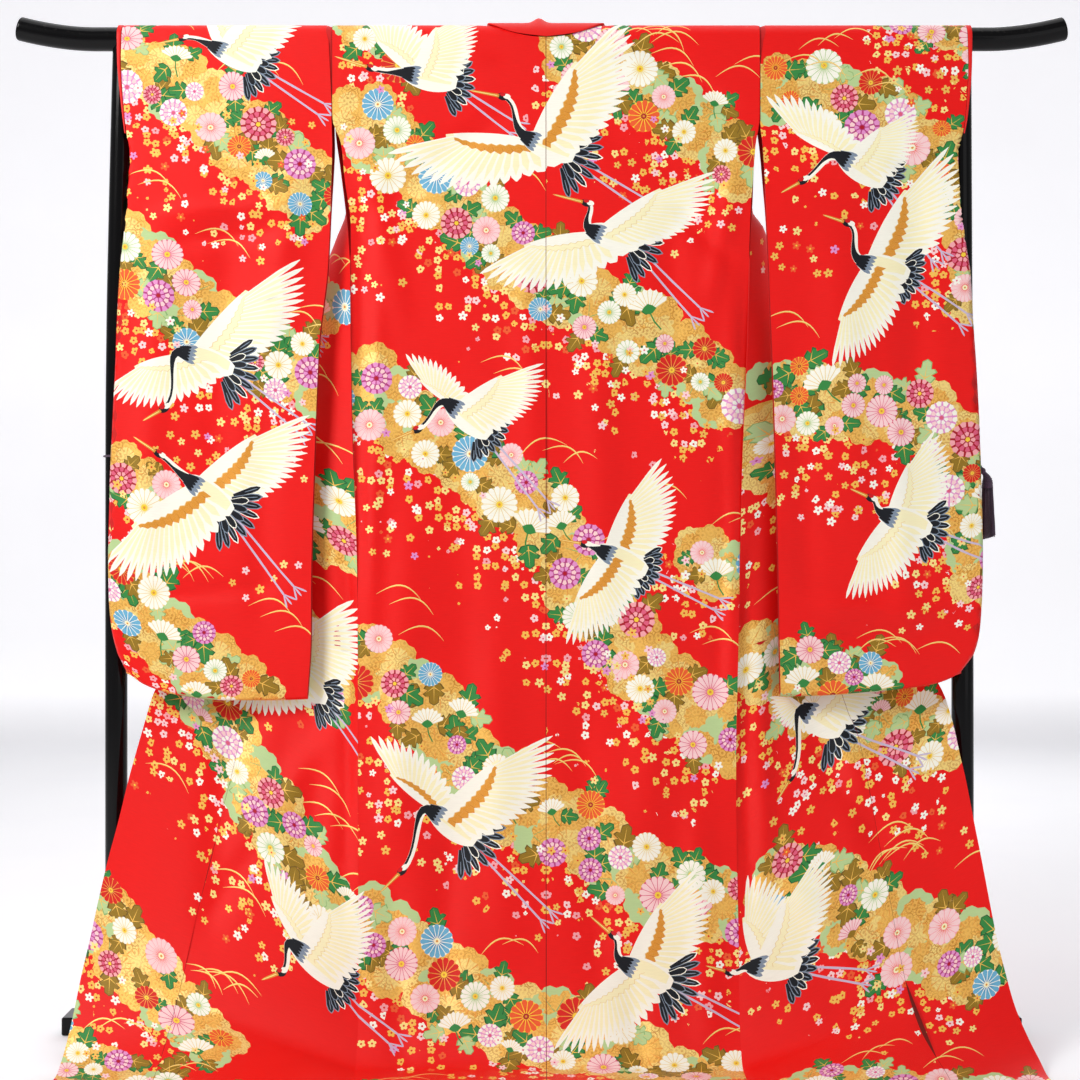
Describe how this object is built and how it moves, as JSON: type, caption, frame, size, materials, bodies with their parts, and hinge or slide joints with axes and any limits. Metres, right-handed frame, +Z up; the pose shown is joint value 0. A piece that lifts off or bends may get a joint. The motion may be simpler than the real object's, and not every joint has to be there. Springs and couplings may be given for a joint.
{
  "type": "uchikake wedding kimono on a kimono stand",
  "caption": "Long-sleeved wedding over-kimono in red patterned brocade, hung by its shoulders from the crossbar of a black lacquered stand, with its hem spread on the floor",
  "frame": {"origin": "on the floor, under the middle of the whole object's box", "axes": "+X along the crossbar, -Y the side on which the kimono's back hangs, +Z up"},
  "size_m": [1.6458, 0.6623, 1.5875],
  "materials": {
    "brocade": "red silk brocade with woven flowers, cranes and gold grounds",
    "red_satin": "plain red satin",
    "lacquer": "black gloss lacquer on wood",
    "purple_cord": "dark purple silk cord and tassel"
  },
  "bodies": {
    "root": {"body_left": "brocade", "body_right": "brocade", "okumi_left": "brocade", "okumi_right": "brocade", "sleeve_left": "brocade", "sleeve_right": "brocade", "collar": "red_satin", "mouth_edge_left": "red_satin", "mouth_edge_right": "red_satin", "crossbar": "lacquer", "post_left": "lacquer", "post_right": "lacquer", "foot_left": "lacquer", "foot_right": "lacquer", "cord_ring_left": "purple_cord", "cord_ring_right": "purple_cord", "tassel_right": "purple_cord"}
  },
  "joints": []
}
